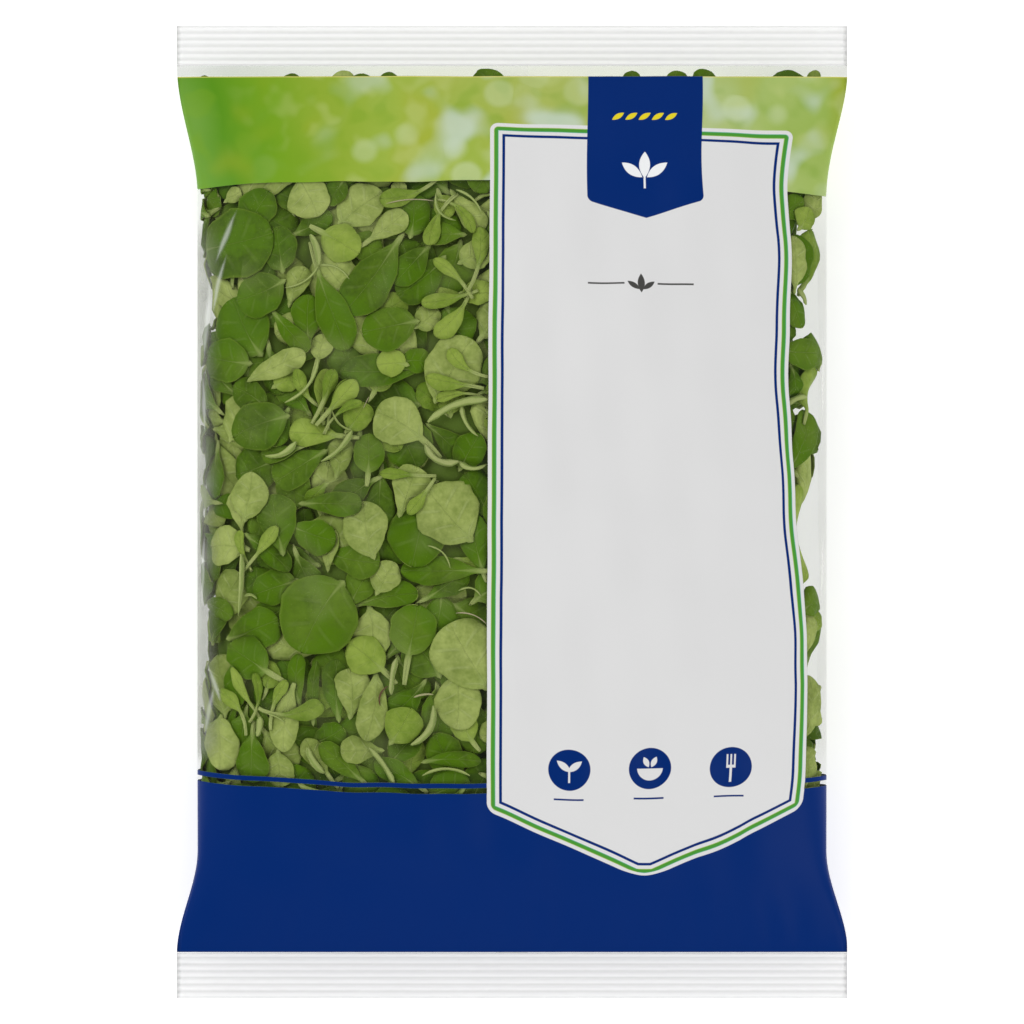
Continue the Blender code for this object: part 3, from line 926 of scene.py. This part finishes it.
def box_mark(across, up, half_width, half_height):
    """Positive inside a box about the origin: the smaller of the distances to its sides."""
    return (half_width - abs(across)).lesser(half_height - abs(up))


def shown(distance):
    """1 inside a printed shape and 0 outside it, with a soft edge as fine as the print's."""
    return distance.between(-EDGE, EDGE)


def foliage(around, up, place):
    """The green band's out-of-focus foliage: deep green at the left to pale mint at the right, with patches.

    Past each side fold the colours run back as a triangle wave of the way round, and meet at the lap.
    """
    around = (around + SIDE_FOLD).maths("PINGPONG", 2 * SIDE_FOLD) - SIDE_FOLD
    shift = (place.noise(22.0, 1.0) - 0.5) * 60.0 + (up - 320.0) * 0.30
    stops = ((-119, (112, 160, 58)), (-106, (92, 148, 28)), (-84, (120, 164, 34)), (-60, (146, 174, 54)),
             (-30, (160, 184, 72)), (0, (170, 186, 88)), (40, (176, 190, 104)), (80, (184, 200, 136)),
             (104, (168, 192, 104)), (119, (146, 178, 66)))
    ramp = [((at + SIDE_FOLD) / (2 * SIDE_FOLD), ink(*colour)) for at, colour in stops]
    share = (around + shift + SIDE_FOLD) / (2 * SIDE_FOLD)
    base = around.node("ShaderNodeValToRGB", {"stops": ramp}, {"Fac": share})
    sunlit = place.noise(46.0, 1.0).between(0.50, 0.78) * 0.55
    colour = sunlit.colours(base, ink(172, 178, 44))
    blotch = place.noise(95.0, 1.0)
    pale = blotch.between(0.52, 0.72) * 0.35 * around.between(-112.0, -60.0)
    colour = pale.colours(colour, ink(196, 208, 132))
    colour = ((1 - blotch.between(0.30, 0.46)) * 0.35).colours(colour, ink(122, 164, 36))
    cells = {"Vector": place, "Scale": 62.0}
    from_light = place.node("ShaderNodeTexVoronoi", {}, cells)
    chance_of_light = place.node("ShaderNodeTexVoronoi", {}, cells, 1).parts()[0]
    lights = (1 - from_light.between(0.26, 0.42)) * chance_of_light * around.between(-108.0, -50.0)
    colour = (lights * 0.45).colours(colour, ink(208, 222, 176))
    sky = place.noise(62.0, 1.0, 0.3).between(0.54, 0.76) * around.between(-100.0, -10.0) * 0.75
    return sky.colours(colour, ink(204, 220, 204))


def film_place(place):
    """Way round from the front's middle and way up from the bottom edge, in mm, from the film's map."""
    across, up, _ = place.node("ShaderNodeUVMap", {"uv_map": "film"}, {}).parts()
    return across * 1000 - 500 * FILM_ROUND, up * 1000


def inside_label(around, up, soft_shift):
    """Distance inside the label, whose sides lean and bow a little and whose foot comes to a blunt point."""
    left = around - LABEL_LEFT - (up - 200.0) * 0.0047 + soft_shift * 0.25
    waist = (1 - (((up - 238.0) / 44.0) ** 2).lesser(1.0)) ** 1.5
    right_edge = LABEL_RIGHT_LOW + (LABEL_RIGHT - LABEL_RIGHT_LOW) * up.between(118.0, 197.0)
    right_edge = right_edge - waist * 2.0 + (up - 118.0).lesser(0.0) * 0.03
    right = right_edge - around + soft_shift * 0.7 + up.between(290.0, 322.0) * 1.2
    head = LABEL_TOP - up - (around - 43.0) * 0.0215 + soft_shift * 0.8
    foot = up - LABEL_POINT
    left_slope = (around - 45.2) * 0.414 + foot * 0.910
    dip = (1 - (((around - 78.0) / 11.0) ** 2).lesser(1.0)) ** 2
    right_foot = (around - 52.7) * 0.431 + (around - 84.0).greater(0.0) * 0.09 - dip * 0.9
    right_slope = (foot - right_foot) * 0.918
    return inside_all([left, right, head, foot + 0.2, left_slope, right_slope], LABEL_CORNER)


def badge_motif(number, x, y):
    """Positive inside what a badge leaves bare: a seedling, a bowl with two leaves, or a fork."""
    if number == 0:
        return leaf_mark(abs(x) - 2.0, y - 1.3, 0.9, 3.2, 1.25).greater(box_mark(x, y + 2.3, 0.35, 2.4))
    if number == 1:
        bowl = (4.6 - (x * x + (y - 0.2) ** 2) ** 0.5).lesser(-y)
        return bowl.greater(leaf_mark(abs(x) - 1.4, y - 2.4, 0.45, 2.1, 1.0))
    tines = box_mark(abs(x) - 1.35, y - 2.8, 0.30, 2.2).greater(box_mark(x, y - 2.8, 0.30, 2.2))
    return tines.greater(box_mark(x, y - 0.5, 1.65, 0.55)).greater(box_mark(x, y + 2.5, 0.42, 3.0))


def label_print(around, up, label):
    """The label's colours: a pale panel with green and navy lines round it, an ornament and three badges.

    The green line is a little out of register, so that a fringe of another green shows along its sides.
    """
    into_line = (label - (BORDER_LINES[0] + BORDER_LINES[1]) / 2) * (1 - 2 * around.between(46.0, 47.0))
    line_ink = into_line.between(-0.85, -0.45).colours(FRINGES[0], BORDER_GREEN)
    line_ink = into_line.between(0.45, 0.85).colours(line_ink, FRINGES[1])
    colour = PANEL
    for inset, inner_ink in zip(BORDER_LINES, (line_ink, PANEL, NAVY, PANEL)):
        colour = shown(label - inset).colours(colour, inner_ink)
    rule = box_mark(abs(around - LABEL_MIDDLE) - 12.5, up - ORNAMENT_UP, 6.5, 0.32)
    bud = leaf_mark(around - LABEL_MIDDLE, up - ORNAMENT_UP, 0.0, 3.6, 1.3)
    side_buds = leaf_mark(abs(around - LABEL_MIDDLE) - 2.7, up - (ORNAMENT_UP - 0.8), 0.95, 2.7, 0.95)
    colour = shown(rule.greater(bud).greater(side_buds)).colours(colour, MARK_GREY)
    for number, middle in enumerate(BADGE_PLACES):
        x, y = around - middle, up - BADGE_UP
        disc = BADGE_RADIUS - (x * x + y * y) ** 0.5
        badge = disc.lesser(-badge_motif(number, x, y))
        underline = box_mark(x, y + 11.0, 5.4, 0.34)
        colour = shown(badge.greater(underline)).colours(colour, NAVY)
    return colour


def tab_print(around, up):
    """Where the tab is, and its colours: navy, with a row of yellow leaf shapes over a white sprig."""
    down = GREEN_BAND[1] - up
    side = TAB_HALF_WIDTH - 0.9 + down * 0.018 - abs(around - TAB_MIDDLE + 0.8 - down * 0.025)
    foot = (up - TAB_FOOT - abs(around - TAB_MIDDLE - 0.4) * 0.307) * 0.956
    sprig_x, sprig_y = around - TAB_MIDDLE - 0.2, up - SPRIG_UP
    sprig = leaf_mark(sprig_x, sprig_y - 2.2, 0.0, 5.0, 2.0)
    sprig = sprig.greater(leaf_mark(abs(sprig_x) - 4.6, sprig_y - 0.2, 0.95, 4.6, 1.8))
    sprig = sprig.greater(box_mark(sprig_x, sprig_y + 4.4, 0.36, 2.2))
    bead_x = around - TAB_MIDDLE + 0.6
    bead = (bead_x / BEAD_PITCH + 50.5).maths("FRACT") * BEAD_PITCH - BEAD_PITCH / 2
    beads = leaf_mark(bead, up - BEADS_UP, 1.0, 2.5, 1.0).lesser(2.5 * BEAD_PITCH - abs(bead_x))
    colour = shown(sprig).colours(NAVY, WHITE)
    return shown(inside_all([side, foot, down + 2.0], TAB_CORNER)), shown(beads).colours(colour, MARK_YELLOW)


def navy_print(around, up):
    """Where the navy band and the line above it are: both rise with the square of the way to a side."""
    side = abs(around) / 118.0
    rise = (side * side).lesser(1.0) * (LEFT_RISE + around.between(-1.0, 1.0) * (RIGHT_RISE - LEFT_RISE))
    rise = rise * (1 - abs(around).between(125.0, LAP_EDGE))
    band = (NAVY_BAND[1] + rise - up).lesser(up - NAVY_BAND[0])
    line = (NAVY_LINE[1] + rise - up).lesser(up - rise - NAVY_LINE[0])
    return shown(band).greater(shown(line))


def all_print(around, up, place):
    """How much of the film ink covers, 0 to 1, and the colour of the print: bands all round, label and tab.

    The green band's foot lies a little lower at both sides of the front, and its head has a yellow edge.
    """
    soft_shift = (place.noise(38.0, 1.0) - 0.5) * 1.5
    front = 1 - abs(around).between(SIDE_FOLD - 1.0, SIDE_FOLD + 1.0)
    green_foot = up - GREEN_BAND[0] + front * around.between(60.0, 122.0) * 3.8
    green_foot = green_foot + front * (1 - around.between(-121.0, -94.0)) * 1.1
    green_head = GREEN_BAND[1] - up + soft_shift * 0.35
    green = shown(green_foot.lesser(green_head))
    green_edge = green * (1 - green_head.between(0.15, 0.6))
    navy = navy_print(around, up)
    label = inside_label(around, up, soft_shift)
    label_ink = shown(label) * front
    tab, tab_colour = tab_print(around, up)
    tab = tab * shown(green_head) * front
    colour = (green_edge * 0.8).colours(foliage(around, up, place), ink(232, 222, 120))
    colour = navy.colours(colour, NAVY)
    colour = label_ink.colours(colour, label_print(around, up, label))
    return green.greater(navy).greater(label_ink).greater(tab), tab.colours(colour, tab_colour)


def printed_waves(shader, place):
    """The low gloss of printed film, and the soft waves in it: noise with about 60 to the metre."""
    shader.inputs["Specular IOR Level"].default_value = 0.06
    feed((place.noise(60.0, 1.0) * 0.6).bump(0.25, 0.0015), shader, "Normal")


def frost_and_ridge_shading(up):
    """Colour of the frosted seals, with painted shading of the jaws' ridges: palest on each ridge and darker
    between, repeating from either end inward.
    """
    phase = ((1000 * FILM_LENGTH - up).lesser(up) / (1000 * CRIMP_PITCH)).maths("FRACT")
    # Painted ridge shading: palest on each ridge of the jaws and darker in the grooves between
    painted_ridge_light = phase.between(0.05, 0.30) * (1 - phase.between(0.40, 1.0))
    return painted_ridge_light.colours(ink(234, 234, 234), ink(255, 255, 255))


def film_material():
    """Printed film with the edges of its print: opaque inks on clear film, with a weld line at each seal.

    Where nothing is printed its alpha is that of the bare film, the frosted seals or the weld of the lap.
    """
    material, shader, place = new_material("printed_film", FILM_ROUGHNESS)
    around, up = film_place(place)
    inked, colour = all_print(around, up, place)
    foot_seal, head_seal = SEAL_ENDS
    seal = (1 - up.between(foot_seal, foot_seal + 0.3)).greater(up.between(head_seal - 0.3, head_seal))
    weld_lines = shown(SEAL_LINE - abs(up - foot_seal + 0.3).lesser(abs(up - head_seal - 0.4)))
    lap = abs(around).between(LAP_EDGE, LAP_EDGE + 0.4) * (1 - seal)
    # The seals' colour holds painted shading of the jaws' ridges
    bare = seal.greater(lap * 0.6).colours(ink(74, 70, 74), frost_and_ridge_shading(up))
    feed(weld_lines.colours(inked.colours(bare, colour), ink(252, 252, 252)), shader, "Base Color")
    strip = up.between(GREEN_BAND[1], GREEN_BAND[1] + 0.5) * (0.14 * abs(around).between(50.0, 115.0) - 0.02)
    alpha = (seal * SEAL_ALPHA).greater(FILM_ALPHA + strip).greater(lap * 0.30)
    feed(alpha.greater(inked).greater(weld_lines * 0.9), shader, "Alpha")
    feed(FILM_ROUGHNESS + inked * INK_ROUGHER + seal * SEAL_ROUGHER, shader, "Roughness")
    printed_waves(shader, place)
    return material


def seal_material():
    """Film pressed and frosted by the ridged jaws, where nothing is printed on it, with painted shading of
    its ridges.
    """
    material, shader, place = new_material("seal_film", FILM_ROUGHNESS + SEAL_ROUGHER)
    feed(frost_and_ridge_shading(film_place(place)[1]), shader, "Base Color")
    shader.inputs["Alpha"].default_value = SEAL_ALPHA
    printed_waves(shader, place)
    return material


def inked_material():
    """Printed film where inks cover all of it: the green band, the label's print and the tab."""
    material, shader, place = new_material("inked_film", FILM_ROUGHNESS + INK_ROUGHER)
    feed(all_print(*film_place(place), place)[1], shader, "Base Color")
    printed_waves(shader, place)
    return material


def one_ink_material(name, colour):
    """Printed film where a single ink covers all of it."""
    material, shader, place = new_material(name, FILM_ROUGHNESS + INK_ROUGHER)
    shader.inputs["Base Color"].default_value = colour
    printed_waves(shader, place)
    return material


def clear_material():
    """Bare film with nothing printed on it: a faint grey tint, a pale veil in patches that is painted glare
    of light on the film, and a soft gloss.
    """
    material, shader, place = new_material("bare_film", 0.20)
    waves = place.noise(64.0, 1.0)
    # A pale veil in patches: painted glare, light reflected off the film
    glare_veil = waves.between(0.46, 0.74)
    feed(glare_veil.colours(FILM_GREY, ink(146, 154, 104)), shader, "Base Color")
    feed(FILM_ALPHA + 0.08 * glare_veil, shader, "Alpha")
    shader.inputs["Specular IOR Level"].default_value = 0.12
    feed(waves.bump(0.5, 0.0015), shader, "Normal")
    return material


# White creases where the slack film folds sharply along its sides, painted as highlights: way round and up of
# the middle, and half the length, in mm, the lean from upright in radians, and half the greatest width in mm
CREASES = (
    (-104.8, 282, 12, 0.38, 1.9), (-107.0, 264, 14, 0.24, 1.7), (-111.5, 252, 17, 0.10, 2.2),
    (-113.0, 220, 12, -0.05, 1.5), (-108.5, 118, 9, -0.35, 2.1), (-111.0, 108, 12, 0.25, 1.8),
    (-113.5, 160, 15, 0.03, 1.5), (115.0, 230, 22, 0.02, 1.6), (114.0, 160, 16, 0.06, 1.5),
)


def creased_material():
    """Bare film along the side folds: a pale veil in patches where it turns over, which is painted sheen, and
    soft-edged white creases, which are painted highlights.

    The painted sheen rises from nothing 17 mm before the fold to its most 6 mm before it, and falls again
    behind.
    """
    material, shader, place = new_material("creased_film", FILM_ROUGHNESS)
    around, up = film_place(place)
    patches = place.noise(75.0, 1.0)
    wander = (patches - 0.5) * 1.6
    # Each crease is a painted highlight of light on a sharp fold of the film
    crease_highlight = 0.0
    for middle, height, half_length, lean, half_width in CREASES:
        shape = leaf_mark(around - middle + wander, up - height, lean, half_length, half_width)
        crease_highlight = (shape / half_width).greater(crease_highlight)
    # Painted sheen where the film turns over at the side folds, weaker on the right
    fold_sheen = (1 - abs(abs(around) - SIDE_FOLD).between(6.0, 17.0)) * (0.35 + patches * 1.1)
    fold_sheen = fold_sheen * (1 - 0.86 * around.between(-1.0, 1.0))
    fold_sheen = fold_sheen * up.between(86.0, 96.0) * (1 - up.between(270.0, 294.0))
    crease_highlight = crease_highlight.between(0.0, 0.9)
    colour = fold_sheen.colours(FILM_GREY, ink(172, 174, 164))
    feed(crease_highlight.colours(colour, ink(238, 242, 234)), shader, "Base Color")
    feed(FILM_ALPHA + (crease_highlight * 0.30).greater(fold_sheen * 0.42), shader, "Alpha")
    shader.inputs["Specular IOR Level"].default_value = 0.2
    return material


# Which finish each face of the film has: frosted in the seals, bare or creased beside the label, one ink, or
# several inks that cover all of it. A face that an edge of the print or a weld crosses has printed_film
film.data.materials.append(film_material())
film.data.materials.append(clear_material())
film.data.materials.append(creased_material())
film.data.materials.append(inked_material())
film.data.materials.append(one_ink_material("navy_film", NAVY))
film.data.materials.append(one_ink_material("label_film", PANEL))
film.data.materials.append(seal_material())
CLEAR_UP = (86.0, 296.0)
PRINT_AROUND = (-11.0, 110.0)
CREASED_AROUND = (98.0, 142.0)
COVERED_BANDS = ((17.6, 78.0), (302.4, 342.9))
COVERED_LABEL = ((-6.4, 97.4), (60.0, 315.0))
NAVY_UP_BELOW_LABEL = 46.5
BLANK_LABEL = ((0.0, 92.0), (97.5, 258.0))
PAST_WELD_LINE = 1.0
face_left = 1000 * ((skin_faces[:, 0] % skin_columns) * 2 * CELL - FILM_ROUND / 2)
face_right = face_left + 2000 * CELL
face_foot = 1000 * skin_rows[skin_faces[:, 0] // skin_columns]
face_head = face_foot + 1000 * BODY_ROW
off_label = (face_right < PRINT_AROUND[0]) | (face_left > PRINT_AROUND[1])
off_lap = (face_left > -LAP_EDGE) & (face_right < LAP_EDGE)
is_clear = off_label & off_lap & (face_foot > CLEAR_UP[0]) & (face_head < CLEAR_UP[1])
from_front = np.abs(face_left + 1000 * CELL)
is_creased = is_clear & (from_front > CREASED_AROUND[0]) & (from_front < CREASED_AROUND[1])
is_covered = np.zeros(len(skin_faces), dtype=bool)
for foot, head in COVERED_BANDS:
    is_covered |= (face_foot > foot) & (face_head < head)


def faces_within(sides, ends):
    """The faces of the film that lie wholly between two ways round and two ways up."""
    return (face_left > sides[0]) & (face_right < sides[1]) & (face_foot > ends[0]) & (face_head < ends[1])


is_covered |= faces_within(*COVERED_LABEL)
is_navy = (face_foot > COVERED_BANDS[0][0]) & (face_head < COVERED_BANDS[0][1])
is_navy &= off_label | (face_head < NAVY_UP_BELOW_LABEL)
is_blank = faces_within(*BLANK_LABEL)
is_seal = (face_head < SEAL_ENDS[0] - PAST_WELD_LINE) | (face_foot > SEAL_ENDS[1] + PAST_WELD_LINE)
finishes = [is_seal, is_blank, is_navy, is_covered, is_creased, is_clear]
finish_of_face = np.select(finishes, [6, 5, 4, 3, 2, 1], 0)
finish_of_face = np.concatenate([finish_of_face, np.zeros(len(cap_faces))])
film.data.polygons.foreach_set("material_index", finish_of_face.astype(np.int32))

# The floor, the light and the camera: a white sheet under a white tent with a large soft lamp on each side,
# looked at from straight above through a long lens, with the bag's middle in the middle of the frame
FRAME_PIXELS, BAG_PIXELS = 1024, 972
FRAME_HEIGHT = BAG_LENGTH * FRAME_PIXELS / BAG_PIXELS
CAMERA_HEIGHT = 6.0
SENSOR = 36.0
TENT_LIGHT, TENT_TOP = 0.75, 0.40
FLOOR_HALF, FLOOR_GAP = 30.0, 0.0006
floor_points = np.array([[-1, -1, 0], [1, -1, 0], [1, 1, 0], [-1, 1, 0]]) * FLOOR_HALF - [0, 0, FLOOR_GAP]
floor_mesh = bpy.data.meshes.new("floor")
floor_mesh.from_pydata(floor_points.tolist(), [], [[0, 1, 2, 3]])
floor = bpy.data.objects.new("floor", floor_mesh)
bpy.context.scene.collection.objects.link(floor)
floor_white, floor_shader, _ = new_material("floor", 0.9)
floor_shader.inputs["Base Color"].default_value = (0.86, 0.86, 0.86, 1.0)
floor_shader.inputs["Specular IOR Level"].default_value = 0.0
floor_shader.inputs["Emission Color"].default_value = (1.0, 1.0, 1.0, 1.0)
floor_shader.inputs["Emission Strength"].default_value = 0.50
floor_mesh.materials.append(floor_white)

world = bpy.data.worlds.new("tent")
world.use_nodes = True
background = world.node_tree.nodes["Background"]
direction = Wire(world.node_tree, world.node_tree.nodes.new("ShaderNodeTexCoord").outputs["Generated"])
tent_light = TENT_LIGHT - (TENT_LIGHT - TENT_TOP) * direction.parts()[2].between(0.60, 0.90)
feed(tent_light, background, "Strength")
background.inputs["Color"].default_value = (1.0, 1.0, 1.0, 1.0)
bpy.context.scene.world = world


def soft_lamp(name, place, size, watts):
    """A square area lamp that faces the bag's middle and that the camera doesn't see."""
    light = bpy.data.lights.new(name, "AREA")
    light.size = size
    light.energy = watts
    lamp = bpy.data.objects.new(name, light)
    lamp.location = place
    direction = np.array(place) / np.linalg.norm(place)
    lamp.rotation_euler = (math.acos(direction[2]), 0.0, math.atan2(direction[0], -direction[1]))
    lamp.visible_camera = False
    bpy.context.scene.collection.objects.link(lamp)


soft_lamp("key_lamp", (-1.0, 0.6, 1.2), 1.0, 8.3)
soft_lamp("fill_lamp", (1.0, -0.9, 1.2), 1.0, 6.7)

camera_data = bpy.data.cameras.new("camera")
camera_data.sensor_width = SENSOR
camera_data.lens = SENSOR * (CAMERA_HEIGHT - SEAL_HEIGHT) / FRAME_HEIGHT
camera_data.clip_end = 100.0
camera = bpy.data.objects.new("camera", camera_data)
camera.location = (0.0, 0.0, CAMERA_HEIGHT)
bpy.context.scene.collection.objects.link(camera)
bpy.context.scene.camera = camera
bpy.context.scene.view_settings.view_transform = "Standard"
